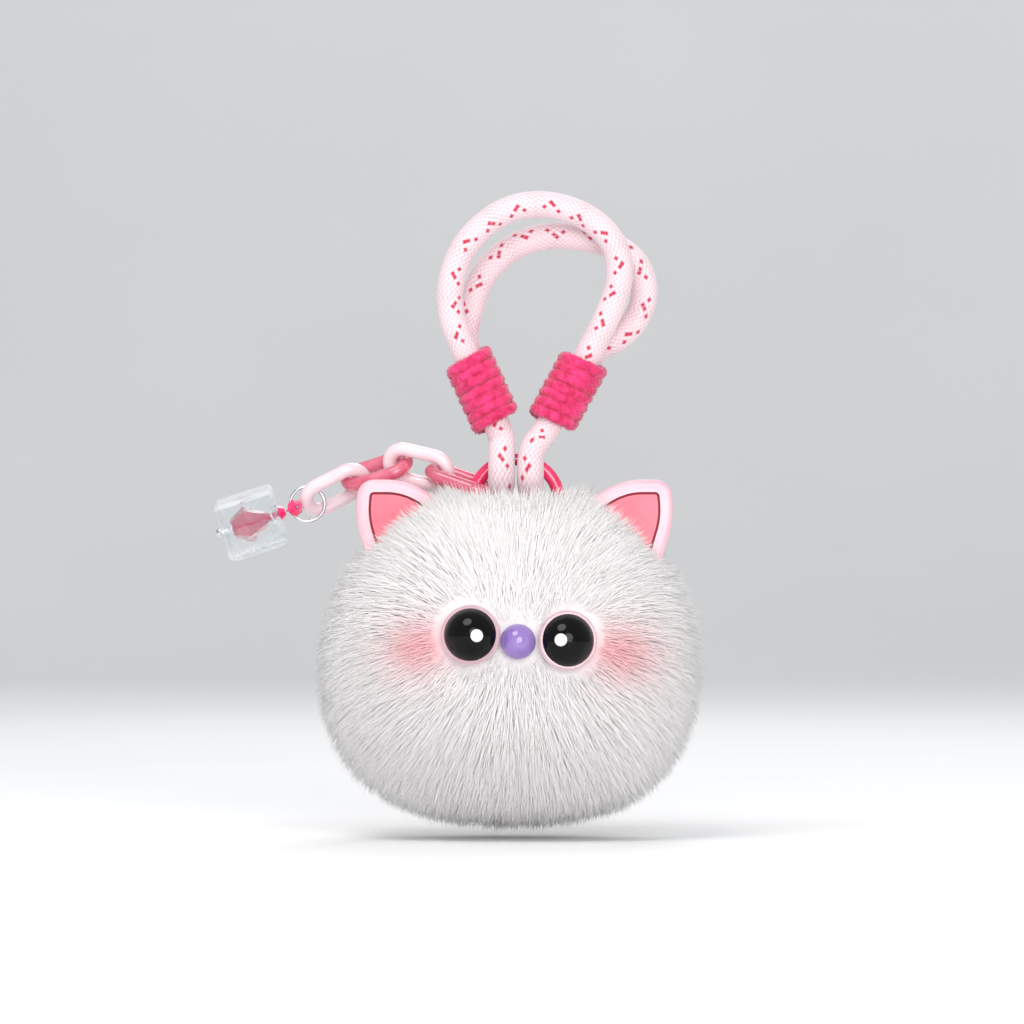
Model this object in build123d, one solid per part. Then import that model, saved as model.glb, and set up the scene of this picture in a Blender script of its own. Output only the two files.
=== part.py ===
"""Plush keychain: a long-pile head hung from a gate ring on a folded rope loop, with a crystal charm chain.

Millimetres. Sizes are written in the head's own frame: x to the right, y away from the face, z up, and zero
at the middle of the head. Each finished piece is then moved, so that the part's origin is the point inside
the crown of the rope loop where a hook bears.
"""
from build123d import *
from math import asin, cos, degrees, pi, radians, sin, sqrt, tan
import os

os.makedirs("parts", exist_ok=True)

# ---- where a hook bears, in the head's frame
HOOK = Vector(6.6, 0.0, 80.6)

# ---- rope loop
ROPE_R = 2.7                      # braided rope, radius
STRAND_Y = 2.78                   # the two strands inside a whipping lie one behind the other
BIGHT_Y = 4.6                     # half width of the fold that carries the ring
ROPE_FIT = 0.03                   # how far the whipping stands off the rope
BUTT_GAP = 0.3                    # between the rope's two ends, hidden in the left whipping
BIGHT_LEFT_X, BIGHT_RIGHT_X = -2.3, 3.5
BIGHT_BOTTOM_Z, BIGHT_TOP_Z = 33.0, 40.9
WRAP_CORD = 2.25                  # thickness of the whipping
WRAP_LEFT = ((-2.9, 45.2), (-9.6, 59.9))     # bottom and top of each whipping's axis, x and z
WRAP_RIGHT = ((7.2, 45.3), (14.9, 59.3))
WRAP_LEAD = 1.8                   # straight rope past each end of a whipping

# ---- gate ring
RING_X, RING_Z = 0.6, 30.0
RING_R, RING_WIRE_R = 8.7, 1.3
GATE_START, GATE_END = -60.0, -5.0           # gate's arc, degrees from +x towards +z
GATE_GAP = 0.15
GATE_NOSE_R = 8.03                # from the gate's pin to the curved face where its free end meets the ring
GATE_PIN_R, GATE_TONGUE = 0.4, 1.0

# ---- head
HEAD_A, HEAD_B, HEAD_C = 35.6, 23.5, 31.2    # half width, half depth, half height of the fabric
FABRIC = 1.2
CORE_GAP = 0.3
SEAM_Y = 3.0
DIMPLE_R, DIMPLE_Z = 19.5, 38.0              # hollow at the crown, round the ring
TAB_WIDTH, TAB_RIBBON = 6.0, 0.8
TAB_ANCHOR_Z = 12.5

# ---- face
EYE_LEFT, EYE_RIGHT, NOSE = (-8.4, 3.9), (10.8, 2.8), (1.0, 2.6)
EYE_RIM_R, EYE_DOME_R, EYE_RIM_T, EYE_DOME_H = 5.9, 5.2, 0.9, 3.6
SPARK_R, SPARK_T = 1.25, 0.3
SPARK_LEFT, SPARK_RIGHT = (1.9, -0.5), (-2.2, -0.1)   # highlight disc from the eye's middle
NOSE_R, NOSE_H = 3.5, 2.9
SEAT_DEPTH = 0.45
POST_R, POST_L = 1.3, 7.0
WASHER_R, WASHER_T, WASHER_AT = 5.0, 1.0, 2.2
FIT = 0.05

# ---- ears
EAR_OUTLINE = [(-28.0, 14.5), (-31.7, 27.0), (-30.9, 34.6), (-21.6, 34.6), (-13.8, 30.2), (-14.5, 17.5)]
EAR_RADII = [1.5, 18.0, 3.4, 14.0, 2.0, 1.5]          # one for each corner of the outline
EAR_FRONT_Y, EAR_T, EAR_EDGE = -5.0, 6.0, 1.1
EAR_RIM, EAR_GROOVE, EAR_PANEL_T = 2.5, 0.5, 0.8
EAR_POST_AT = (-22.0, 22.0)
EAR_SHIFT_RIGHT = 0.6             # the right ear sits this much further out

# ---- chain and charm
LINK_L, LINK_W, LINK_BAR = 15.5, 9.2, 2.8
LINK_SLACK = 3.4                  # between the middles of two bars that pass through each other
LINK_ON_RING = 157.0              # where the first link hangs on the ring, degrees from +x towards +z
LINK_DIRECTIONS = [(-0.91, 0.28, 0.32), (-0.93, 0.28, 0.22), (-0.93, 0.16, -0.30), (-0.885, 0.05, -0.46)]
LINK_ROLLS = [-15, -26, -26, -42]    # turn of each link about its own length
CHARM_DIRECTION = (-0.95, 0.0, -0.31)
CRYSTAL_L, CRYSTAL_W, CRYSTAL_ROLL = 12.4, 11.8, 8.0
CORE_NEAR, CORE_FAR, CORE_R = 4.3, 3.7, 3.8          # the core's two ends from its middle, and its half width
BEAD_R, BEAD_L, BEAD_NEST = 1.7, 2.6, 1.5            # faceted bead, and how deep it sits in the crystal's face
EYE_PIN_R, EYE_PIN_LOOP_R = 0.3, 0.8
JUMP_R, JUMP_WIRE_R = 3.5, 0.35
HANG_GAP = 0.3                    # between a ring's wire and the bar it hangs on
PIN_FIT = 0.08


def put(name, shape):
    """Move a piece into the part's frame and write it."""
    moved = Pos(-HOOK.X, -HOOK.Y, -HOOK.Z) * shape
    moved.label = name
    export_step(moved, f"parts/{name}.step")


def on_wrap(wrap, along, side):
    """A point on one strand of a whipping: along is millimetres past its top (or below its bottom, negative)."""
    (x0, z0), (x1, z1) = wrap
    length = sqrt((x1 - x0) ** 2 + (z1 - z0) ** 2)
    reach = length + along if along > 0 else along
    return (x0 + (x1 - x0) * reach / length, side * STRAND_Y, z0 + (z1 - z0) * reach / length)


# ---------------------------------------------------------------- rope
FRONT_LOOP = [
    (-12.5, -3.0, 67.4), (-12.7, -3.0, 73.7), (-10.8, -3.1, 79.9), (-6.9, -3.2, 85.0), (-1.2, -3.2, 88.9),
    (5.4, -3.2, 90.1), (12.3, -3.2, 88.6), (17.9, -3.2, 85.2), (21.2, -3.2, 80.2), (21.6, -3.1, 74.2),
    (19.4, -3.0, 68.2),
]
REAR_LOOP = [
    (21.3, 3.0, 62.9), (25.6, 3.1, 67.6), (26.9, 3.2, 73.6), (24.6, 3.2, 79.0), (19.6, 3.2, 82.2),
    (13.8, 3.2, 83.5), (7.6, 3.2, 84.0), (1.4, 3.2, 82.4), (-3.6, 3.2, 79.0), (-7.0, 3.1, 74.2),
    (-8.7, 3.0, 68.6),
]


def bight(x, wrap, first):
    """The fold under the ring's wire, from one strand's way out of a whipping to the other's."""
    return [
        on_wrap(wrap, -WRAP_LEAD, first),
        (x, first * BIGHT_Y, BIGHT_TOP_Z),
        (x, first * BIGHT_Y, BIGHT_BOTTOM_Z),
        (x, -first * BIGHT_Y, BIGHT_BOTTOM_Z),
        (x, -first * BIGHT_Y, BIGHT_TOP_Z),
        on_wrap(wrap, -WRAP_LEAD, -first),
    ]


def rope_points():
    (x0, z0), (x1, z1) = WRAP_LEFT
    length = sqrt((x1 - x0) ** 2 + (z1 - z0) ** 2)
    middle = 0.4
    start = (x0 + (x1 - x0) * middle, STRAND_Y, z0 + (z1 - z0) * middle)
    share = middle + BUTT_GAP / length
    end = (x0 + (x1 - x0) * share, STRAND_Y, z0 + (z1 - z0) * share)
    return (
        [start] + bight(BIGHT_LEFT_X, WRAP_LEFT, 1)
        + [on_wrap(WRAP_LEFT, WRAP_LEAD, -1)] + FRONT_LOOP + [on_wrap(WRAP_RIGHT, WRAP_LEAD, -1)]
        + bight(BIGHT_RIGHT_X, WRAP_RIGHT, -1)
        + [on_wrap(WRAP_RIGHT, WRAP_LEAD, 1)] + REAR_LOOP + [on_wrap(WRAP_LEFT, WRAP_LEAD, 1), end]
    )


def corner_radii(points):
    """One radius for each inner point: 0.45 of the shorter run, over the tangent of half the turn."""
    radii = []
    for before, here, after in zip(points, points[1:], points[2:]):
        run_in, run_out = here - before, after - here
        half_turn = radians(run_in.get_angle(run_out)) / 2
        radii.append(0.45 * min(run_in.length, run_out.length) / tan(half_turn))
    return radii


def make_rope():
    points = [Vector(*p) for p in rope_points()]
    radii = corner_radii(points)
    print("rope bend radii:", ", ".join(f"{r:.1f}" for r in radii))
    path = FilletPolyline(*points, radius=radii)
    section = Plane(origin=path @ 0, z_dir=path % 0) * Circle(ROPE_R)
    rope = sweep(section, path=path)
    ideal = pi * ROPE_R ** 2 * path.length
    print(f"rope length {path.length:.1f}, volume {rope.volume:.0f} against {ideal:.0f}")
    return rope


def make_wrap(wrap):
    (x0, z0), (x1, z1) = wrap
    length = sqrt((x1 - x0) ** 2 + (z1 - z0) ** 2)
    frame = Plane(origin=(x0, 0, z0), x_dir=(0, 1, 0), z_dir=(x1 - x0, 0, z1 - z0))
    sleeve = extrude(SlotCenterToCenter(2 * STRAND_Y, 2 * (ROPE_R + WRAP_CORD)), length)
    for side in (-1, 1):
        sleeve -= Pos(side * STRAND_Y, 0, 0) * Cylinder(ROPE_R + ROPE_FIT, 3 * length)
    return frame * sleeve


# ---------------------------------------------------------------- gate ring
def in_ring(shape):
    """Lay a shape drawn in the xy plane into the ring's plane, at the ring's middle."""
    return Pos(RING_X, 0, RING_Z) * Rot(90, 0, 0) * shape


def ring_arc(start, end):
    """Part of the ring's wire, drawn in the xy plane, from one angle to the other."""
    return Rot(0, 0, start) * revolve(Pos(RING_R, 0, 0) * Rot(90, 0, 0) * Circle(RING_WIRE_R), Axis.Z, end - start)


def gate_pivot():
    return RING_R * cos(radians(GATE_START)), RING_R * sin(radians(GATE_START))


def make_ring():
    """The ring's body, its gate, the gate's leaf spring and its pin."""
    hinge = degrees((RING_WIRE_R + GATE_GAP) / RING_R)
    at_pin = Pos(*gate_pivot(), 0)
    # the two faces at the free end are curved about the pin, so that the gate can swing in past the body
    body = ring_arc(GATE_END - 14, 60) - at_pin * Cylinder(GATE_NOSE_R + GATE_GAP / 2, 4)
    body += ring_arc(60, 360 + GATE_START + hinge)
    fork = GATE_TONGUE + 2 * GATE_GAP
    body -= at_pin * Cylinder(RING_WIRE_R + 2 * GATE_GAP, fork)
    body -= at_pin * Rot(0, 0, GATE_START + 90) * Pos(4, 0, 0) * Box(8, 6, fork)
    body -= at_pin * Cylinder(GATE_PIN_R, 4)
    gate = ring_arc(GATE_START + 2 * hinge, GATE_END + 14) & at_pin * Cylinder(GATE_NOSE_R - GATE_GAP / 2, 4)
    tongue = ring_arc(GATE_START, GATE_START + 3 * hinge) + at_pin * Cylinder(RING_WIRE_R, GATE_TONGUE)
    gate += tongue & (at_pin * Box(14, 14, GATE_TONGUE))
    gate -= at_pin * Cylinder(GATE_PIN_R + FIT, 4)
    gate -= Rot(0, 0, -33) * Pos(RING_R, 0, 0) * Box(1.2, 5.0, 0.6)
    spring = Rot(0, 0, -33) * Pos(RING_R + 0.3, 0, 0) * Box(0.3, 4.6, 0.5)
    pin = at_pin * Cylinder(GATE_PIN_R, 2 * RING_WIRE_R - 0.3)
    return in_ring(body), in_ring(gate), in_ring(spring), in_ring(pin)


# ---------------------------------------------------------------- head
def ellipsoid(inset):
    return scale(Sphere(1.0), by=(HEAD_A - inset, HEAD_B - inset, HEAD_C - inset))


def dimple(extra):
    return Pos(RING_X, 0, DIMPLE_Z) * Sphere(DIMPLE_R + extra)


def face_plane(at):
    """A plane on the front of the head over x, z, facing straight out of the fabric."""
    x, z = at
    y = -HEAD_B * sqrt(1 - (x / HEAD_A) ** 2 - (z / HEAD_C) ** 2)
    normal = Vector(x / HEAD_A ** 2, y / HEAD_B ** 2, z / HEAD_C ** 2)
    return Plane(origin=(x, y, z), x_dir=(1, 0, 0), z_dir=normal)


def seated(at, shape):
    """Place a shape whose z points out of the face."""
    return face_plane(at) * shape


def dome(radius, height, base):
    """A spherical cap of this radius and height, standing on z = base."""
    ball_r = (radius ** 2 + height ** 2) / (2 * height)
    ball = Pos(0, 0, base + height - ball_r) * Sphere(ball_r)
    return ball & (Pos(0, 0, base + height / 2) * Cylinder(radius, height))


def eye_parts(spark_at):
    """Rim, domed pupil with its post, highlight disc and lock washer, facing +z from the seat at z = 0."""
    floor = -SEAT_DEPTH
    rim = Pos(0, 0, floor + EYE_RIM_T / 2) * Cylinder(EYE_RIM_R, EYE_RIM_T)
    rim = chamfer(rim.edges().group_by(Axis.Z)[-1], 0.35)
    rim -= Pos(0, 0, floor) * Cylinder(POST_R + FIT, 4)
    pupil = dome(EYE_DOME_R, EYE_DOME_H, floor + EYE_RIM_T)
    pupil += Pos(0, 0, floor + EYE_RIM_T - POST_L / 2) * Cylinder(POST_R, POST_L)
    sx, sy = spark_at
    ball_r = (EYE_DOME_R ** 2 + EYE_DOME_H ** 2) / (2 * EYE_DOME_H)
    top = floor + EYE_RIM_T + EYE_DOME_H
    lean_x, lean_y = degrees(asin(sx / ball_r)), degrees(asin(sy / ball_r))
    tilt = Pos(0, 0, top - ball_r) * Rot(-lean_y, lean_x, 0)
    disc = tilt * Pos(0, 0, ball_r) * Cylinder(SPARK_R, 2 * SPARK_T)
    disc = disc & (Pos(0, 0, top - ball_r) * Sphere(ball_r + SPARK_T / 2))
    pupil -= disc
    washer = Pos(0, 0, -WASHER_AT - WASHER_T / 2) * (Cylinder(WASHER_R, WASHER_T) - Cylinder(POST_R, 3))
    return rim, pupil, disc, washer


def nose_parts():
    floor = -SEAT_DEPTH
    nose = dome(NOSE_R, NOSE_H, floor) + Pos(0, 0, floor - 3) * Cylinder(POST_R - 0.3, 6)
    washer = Pos(0, 0, -WASHER_AT - WASHER_T / 2) * (Cylinder(3.2, WASHER_T) - Cylinder(POST_R - 0.3, 3))
    return nose, washer


def ear_outline(inset):
    face = make_face(FilletPolyline(*EAR_OUTLINE, radius=EAR_RADII, close=True))
    return offset(face, -inset) if inset else face


def ear_plane(y):
    """The xz plane at this depth, with its normal to the back."""
    return Plane(origin=(0, y, 0), x_dir=(1, 0, 0), z_dir=(0, -1, 0))


def make_ear():
    """The left ear's shell, its inset panel and the lock washer on its post."""
    back = EAR_FRONT_Y + EAR_T
    shell = extrude(ear_plane(back) * ear_outline(0), EAR_T)
    shell = fillet(shell.edges().filter_by(Axis.Y, reverse=True), EAR_EDGE)
    shell -= extrude(ear_plane(EAR_FRONT_Y + EAR_PANEL_T) * ear_outline(EAR_RIM), 3)
    shell -= ellipsoid(0)
    x, z = EAR_POST_AT
    middle_y = EAR_FRONT_Y + EAR_T / 2
    inward = Vector(-x, 0, -z).normalized()
    along = Plane(origin=(x, middle_y, z), x_dir=(0, 1, 0), z_dir=inward)
    # the post starts inside the ear, so the two make one solid
    post = along * (Pos(0, 0, 4.2) * Cylinder(1.8, 16))
    shell = shell + post
    washer = along * (Pos(0, 0, 9.0) * (Cylinder(4.5, 1.0) - Cylinder(1.8, 3)))
    panel = extrude(ear_plane(EAR_FRONT_Y + EAR_PANEL_T) * ear_outline(EAR_RIM + EAR_GROOVE), EAR_PANEL_T)
    panel -= ellipsoid(0)
    shell -= panel
    post_hole = along * (Pos(0, 0, 4.2) * Cylinder(1.8, 16))
    washer_room = along * (Pos(0, 0, 9.0) * Cylinder(4.5 + CORE_GAP, 1.0 + 2 * CORE_GAP))
    return shell, panel, washer, post_hole, washer_room


def make_tab():
    """A ribbon folded round the ring's bottom wire, its ends sewn in under the crown."""
    low = RING_Z - RING_R
    rise = RING_R - sqrt(RING_R ** 2 - (TAB_WIDTH / 2) ** 2)
    hole = RING_WIRE_R + 0.3
    side = Plane(origin=(RING_X - TAB_WIDTH / 2, 0, low + rise / 2), x_dir=(0, 1, 0), z_dir=(1, 0, 0))
    loop = Rot(0, 0, 90) * SlotCenterToCenter(rise, 2 * (hole + TAB_RIBBON))
    stem_l = low - TAB_ANCHOR_Z
    stem = Pos(0, -stem_l / 2) * Rectangle(2 * TAB_RIBBON, stem_l)
    outline = loop + stem - Rot(0, 0, 90) * SlotCenterToCenter(rise, 2 * hole)
    ribbon = side * extrude(outline, TAB_WIDTH)
    return ribbon


def make_head():
    pieces = {}
    cuts_cover, cuts_core = [], []
    for name, at, spark in (("left", EYE_LEFT, SPARK_LEFT), ("right", EYE_RIGHT, SPARK_RIGHT)):
        rim, pupil, disc, washer = (seated(at, s) for s in eye_parts(spark))
        pieces[f"eye_rim_{name}"] = rim
        pieces[f"eye_dome_{name}"] = pupil
        pieces[f"eye_highlight_{name}"] = disc
        pieces[f"eye_washer_{name}"] = washer
        cuts_cover.append(seated(at, Pos(0, 0, 2 - SEAT_DEPTH) * Cylinder(EYE_RIM_R, 4)))
        cuts_cover.append(seated(at, Cylinder(POST_R, 20)))
        cuts_core.append(seated(at, Cylinder(POST_R + FIT, 20)))
        cuts_core.append(seated(at, Pos(0, 0, -WASHER_AT - WASHER_T / 2) * Cylinder(WASHER_R + 0.3, WASHER_T + 0.6)))
    nose, nose_washer = (seated(NOSE, s) for s in nose_parts())
    pieces["nose"] = nose
    pieces["nose_washer"] = nose_washer
    cuts_cover.append(seated(NOSE, Pos(0, 0, 2 - SEAT_DEPTH) * Cylinder(NOSE_R, 4)))
    cuts_cover.append(seated(NOSE, Cylinder(POST_R - 0.3, 20)))
    cuts_core.append(seated(NOSE, Cylinder(POST_R - 0.3 + FIT, 20)))
    cuts_core.append(seated(NOSE, Pos(0, 0, -WASHER_AT - WASHER_T / 2) * Cylinder(3.5, WASHER_T + 0.6)))

    ear, panel, washer, post_hole, washer_room = make_ear()
    for name in ("left", "right"):
        if name == "right":
            ear, panel, washer, post_hole, washer_room = (
                Pos(EAR_SHIFT_RIGHT, 0, 0) * mirror(s, Plane.YZ) for s in (ear, panel, washer, post_hole, washer_room))
        for node, shape in (("ear", ear), ("ear_panel", panel), ("ear_washer", washer)):
            pieces[f"{node}_{name}"] = shape
        cuts_core += [post_hole, washer_room]
        cuts_cover.append(post_hole)

    tab = make_tab()
    pieces["hanging_tab"] = tab
    cuts_cover.append(tab)
    low = RING_Z - RING_R
    tab_room = 2 * (low - 5 - TAB_ANCHOR_Z) + 1
    cuts_core.append(Pos(RING_X, 0, low - 5) * Box(TAB_WIDTH + 0.4, 2 * TAB_RIBBON + 0.4, tab_room))

    cover = (ellipsoid(0) - dimple(0)) - (ellipsoid(FABRIC) - dimple(FABRIC))
    core = ellipsoid(FABRIC + CORE_GAP) - dimple(FABRIC + CORE_GAP)
    for cut in cuts_cover:
        cover -= cut
    for cut in cuts_core:
        core -= cut
    half = 60.0
    pieces["cover_front"] = cover & (Pos(0, SEAM_Y - half, 0) * Box(2 * half, 2 * half, 2 * half))
    pieces["cover_back"] = cover & (Pos(0, SEAM_Y + half, 0) * Box(2 * half, 2 * half, 2 * half))
    pieces["stuffing"] = core
    return pieces


# ---------------------------------------------------------------- chain and charm
def link_frame(centre, direction, edge_on, roll):
    """The link's plane: x along the chain, z across the bar's loop. An edge-on link lies flat, front to back."""
    along = direction.normalized()
    back = Vector(0, 1, 0)
    normal = along.cross(back) if edge_on else back - along * back.dot(along)
    normal = normal.rotate(Axis((0, 0, 0), along), roll)
    return Plane(origin=centre, x_dir=along, z_dir=normal.normalized())


def make_link(frame):
    straight = LINK_L - LINK_W
    r = LINK_BAR / 2
    half_w = (LINK_W - LINK_BAR) / 2
    route = SlotCenterToCenter(straight, 2 * half_w).wire()
    start = route @ 0
    link = sweep(Plane(origin=start, z_dir=route % 0) * Circle(r), path=route)
    return frame * link


def faceted(*stations):
    """A solid with eight sides, through stations of half width and height along z."""
    body = None
    for (r0, z0), (r1, z1) in zip(stations, stations[1:]):
        part = loft([Pos(0, 0, z0) * RegularPolygon(r0, 8), Pos(0, 0, z1) * RegularPolygon(r1, 8)], ruled=True)
        body = part if body is None else body + part
    return body


def say(label, point):
    """Print a point of the head's frame in the part's own frame."""
    moved = point - HOOK
    print(f"{label}: {moved.X:.3f} {moved.Y:.3f} {moved.Z:.3f}")


def make_links():
    """Four links from the ring outward, every second one edge-on. Returns them and the last link's far bar."""
    pieces = {}
    bar_at = (LINK_L - LINK_BAR) / 2
    angle = radians(LINK_ON_RING)
    wire = Vector(RING_X + RING_R * cos(angle), 0, RING_Z + RING_R * sin(angle))
    say("link 1 pivot", wire)
    near_bar = wire - Vector(*LINK_DIRECTIONS[0]).normalized() * (RING_WIRE_R + LINK_BAR / 2 + HANG_GAP)
    for number, (direction, roll) in enumerate(zip(LINK_DIRECTIONS, LINK_ROLLS), 1):
        along = Vector(*direction).normalized()
        edge_on = number % 2 == 1
        frame = link_frame(wire, along, edge_on, roll)
        if number > 1:
            # the next bar lies on the middle line of both links, so that neither one's sides touch the other's bar
            step = last_frame.y_dir.cross(frame.y_dir).normalized() * LINK_SLACK
            near_bar = far_bar + (step if step.dot(last_frame.x_dir) < 0 else -step)
            say(f"link {number} pivot", near_bar if edge_on else far_bar)
        frame = link_frame(near_bar + along * bar_at, along, edge_on, roll)
        pieces[f"chain_link_{number}"] = make_link(frame)
        far_bar, last_frame = frame.origin + along * bar_at, frame
    return pieces, far_bar


def make_chain():
    pieces, jump = make_links()
    charm_dir = Vector(*CHARM_DIRECTION).normalized()
    eye = jump + charm_dir * JUMP_R
    # heights along the pin, measured from the crystal's middle towards the jump ring
    half = CRYSTAL_L / 2
    bead_at = half - BEAD_NEST + 0.1 + BEAD_L / 2
    eye_at = bead_at + BEAD_L / 2 + 0.1 + EYE_PIN_R + EYE_PIN_LOOP_R
    crystal = eye + charm_dir * eye_at
    say("jump ring pivot", jump)
    say("charm pivot", eye)
    say("crystal", crystal)

    pieces["jump_ring"] = Plane(origin=jump, x_dir=charm_dir, z_dir=(0, 1, 0)) * Torus(JUMP_R, JUMP_WIRE_R)

    across = charm_dir.cross(Vector(0, 1, 0)).normalized()
    pin_frame = Plane(origin=crystal, x_dir=across, z_dir=-charm_dir)
    loop = Plane(origin=eye, x_dir=charm_dir, z_dir=across) * Torus(EYE_PIN_LOOP_R, EYE_PIN_R)
    far = half + 0.3
    near = eye_at - EYE_PIN_LOOP_R
    shank = pin_frame * (Pos(0, 0, (near - far) / 2) * Cylinder(EYE_PIN_R, near + far))
    head = pin_frame * (Pos(0, 0, -far) * Sphere(0.9))
    bore = Cylinder(EYE_PIN_R + PIN_FIT, 40)
    bead = faceted((0.8, -BEAD_L / 2), (BEAD_R, 0), (0.8, BEAD_L / 2)) - bore
    # the loop's cut end is hidden in a second bead, in front of the jump ring
    tail_dir = (Vector(0, -1, 0) - charm_dir * 0.4).normalized()
    tail = Plane(origin=eye + tail_dir * EYE_PIN_LOOP_R, x_dir=across, z_dir=tail_dir)
    pieces["tail_bead"] = tail * (Pos(0, 0, EYE_PIN_R + 0.15 + BEAD_L / 2) * bead)
    tail_l = EYE_PIN_R + 0.15 + BEAD_L + 0.2
    pieces["eye_pin"] = loop + shank + head + tail * (Pos(0, 0, tail_l / 2) * Cylinder(EYE_PIN_R - 0.03, tail_l))

    core = faceted((1.9, -CORE_FAR), (CORE_R, -0.6), (0.7, CORE_NEAR))
    block = Rot(0, 0, CRYSTAL_ROLL) * Box(CRYSTAL_W, CRYSTAL_W, CRYSTAL_L)
    block = chamfer(block.edges(), 0.9)
    block -= Pos(0, 0, half) * Cylinder(BEAD_R + 0.2, 2 * BEAD_NEST)
    block -= Pos(0, 0, -far) * Sphere(1.0)
    pieces["spacer_bead"] = pin_frame * (Pos(0, 0, bead_at) * bead)
    pieces["crystal_core"] = pin_frame * (core - bore)
    pieces["crystal_shell"] = pin_frame * (block - core - bore)
    return pieces


def main():
    put("rope", make_rope())
    put("wrap_left", make_wrap(WRAP_LEFT))
    put("wrap_right", make_wrap(WRAP_RIGHT))
    for name, shape in zip(("ring_body", "ring_gate", "gate_spring", "gate_pin"), make_ring()):
        put(name, shape)
    for name, shape in {**make_head(), **make_chain()}.items():
        put(name, shape)
    px, pz = gate_pivot()
    say("gate pivot", Vector(RING_X + px, 0, RING_Z + pz))
    say("ring top wire", Vector(RING_X, 0, RING_Z + RING_R))
    say("ring bottom wire", Vector(RING_X, 0, RING_Z - RING_R))
    say("head middle", Vector(0, 0, 0))


main()
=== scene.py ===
"""Plush keychain, looks only: long fur, braided rope, velvet whippings, enamel, vinyl and acrylic.

Places are given in the head's own frame (x right, y away from the face, z up, zero at the middle of the head),
the rope's in metres and the rest in millimetres, and are moved by HEAD into the part's frame, which is in metres.
"""
import bpy
import math
import numpy as np
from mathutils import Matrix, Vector
from mathutils.kdtree import KDTree


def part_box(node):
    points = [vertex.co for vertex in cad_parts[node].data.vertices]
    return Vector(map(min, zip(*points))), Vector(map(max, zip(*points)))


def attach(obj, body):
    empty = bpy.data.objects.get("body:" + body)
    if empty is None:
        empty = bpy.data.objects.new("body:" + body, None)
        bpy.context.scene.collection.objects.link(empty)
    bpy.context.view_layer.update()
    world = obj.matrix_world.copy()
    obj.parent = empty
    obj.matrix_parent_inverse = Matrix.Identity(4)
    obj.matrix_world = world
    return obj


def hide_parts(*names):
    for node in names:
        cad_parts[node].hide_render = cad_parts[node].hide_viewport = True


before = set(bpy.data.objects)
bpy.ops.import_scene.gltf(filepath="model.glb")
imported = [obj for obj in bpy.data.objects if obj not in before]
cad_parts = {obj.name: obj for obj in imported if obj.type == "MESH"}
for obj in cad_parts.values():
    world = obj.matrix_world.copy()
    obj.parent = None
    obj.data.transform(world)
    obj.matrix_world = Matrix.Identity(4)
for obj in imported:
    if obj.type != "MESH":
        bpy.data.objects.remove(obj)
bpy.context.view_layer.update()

MM = 0.001
FABRIC_HALF_HEIGHT = 31.2 * MM
cover_low, cover_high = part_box("cover_front")
HEAD = Vector(((cover_low.x + cover_high.x) / 2, 0.0, cover_low.z + FABRIC_HALF_HEIGHT))
RNG = np.random.default_rng(26511)


def at_head(x, y, z):
    """A point of the head's frame, given in millimetres, in the part's frame."""
    return HEAD + Vector((x, y, z)) * MM


# ---------------------------------------------------------------- materials
def new_material(name):
    """A material, its node tree and its Principled shader."""
    material = bpy.data.materials.new(name)
    material.use_nodes = True
    tree = material.node_tree
    return material, tree, tree.nodes["Principled BSDF"]


def srgb(r, g, b):
    """A colour given as 0 to 255, as a linear one."""
    parts = [v / 255 for v in (r, g, b)]
    return tuple(v / 12.92 if v <= 0.04045 else ((v + 0.055) / 1.055) ** 2.4 for v in parts) + (1.0,)


def noise(tree, scale):
    """Noise over the piece's own coordinates."""
    place = tree.nodes.new("ShaderNodeTexCoord")
    node = tree.nodes.new("ShaderNodeTexNoise")
    node.inputs["Scale"].default_value = scale
    node.inputs["Detail"].default_value = 4.0
    node.inputs["Roughness"].default_value = 0.55
    tree.links.new(place.outputs["Object"], node.inputs["Vector"])
    return node


def two_tone(tree, shader, low, high, scale):
    """Base colour that wanders between two colours."""
    ramp = tree.nodes.new("ShaderNodeValToRGB")
    ramp.color_ramp.elements[0].position = 0.3
    ramp.color_ramp.elements[1].position = 0.7
    ramp.color_ramp.elements[0].color = low
    ramp.color_ramp.elements[1].color = high
    tree.links.new(noise(tree, scale).outputs["Fac"], ramp.inputs["Fac"])
    tree.links.new(ramp.outputs["Color"], shader.inputs["Base Color"])


def bump(tree, shader, scale, strength, distance):
    """Fine grain as bump."""
    node = tree.nodes.new("ShaderNodeBump")
    node.inputs["Strength"].default_value = strength
    node.inputs["Distance"].default_value = distance
    tree.links.new(noise(tree, scale).outputs["Fac"], node.inputs["Height"])
    tree.links.new(node.outputs["Normal"], shader.inputs["Normal"])


def vary_roughness(tree, shader, scale, low, high):
    """Roughness that wanders, as wear and handling make it."""
    remap = tree.nodes.new("ShaderNodeMapRange")
    remap.inputs["To Min"].default_value = low
    remap.inputs["To Max"].default_value = high
    tree.links.new(noise(tree, scale).outputs["Fac"], remap.inputs["Value"])
    tree.links.new(remap.outputs["Result"], shader.inputs["Roughness"])


def plastic(name, low, high, roughness=(0.12, 0.25), scale=180.0, coat=0.3, transmission=0.0, ior=1.49, grain=0.04,
            relief=0.0001, specular=0.5):
    """Moulded plastic: two close tones, wandering gloss and a little orange peel."""
    material, tree, shader = new_material(name)
    two_tone(tree, shader, low, high, scale)
    vary_roughness(tree, shader, scale * 2, *roughness)
    bump(tree, shader, scale * 6, grain, relief)
    shader.inputs["IOR"].default_value = ior
    shader.inputs["Specular IOR Level"].default_value = specular
    shader.inputs["Coat Weight"].default_value = coat
    shader.inputs["Coat Roughness"].default_value = 0.08
    shader.inputs["Transmission Weight"].default_value = transmission
    return material


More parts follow.
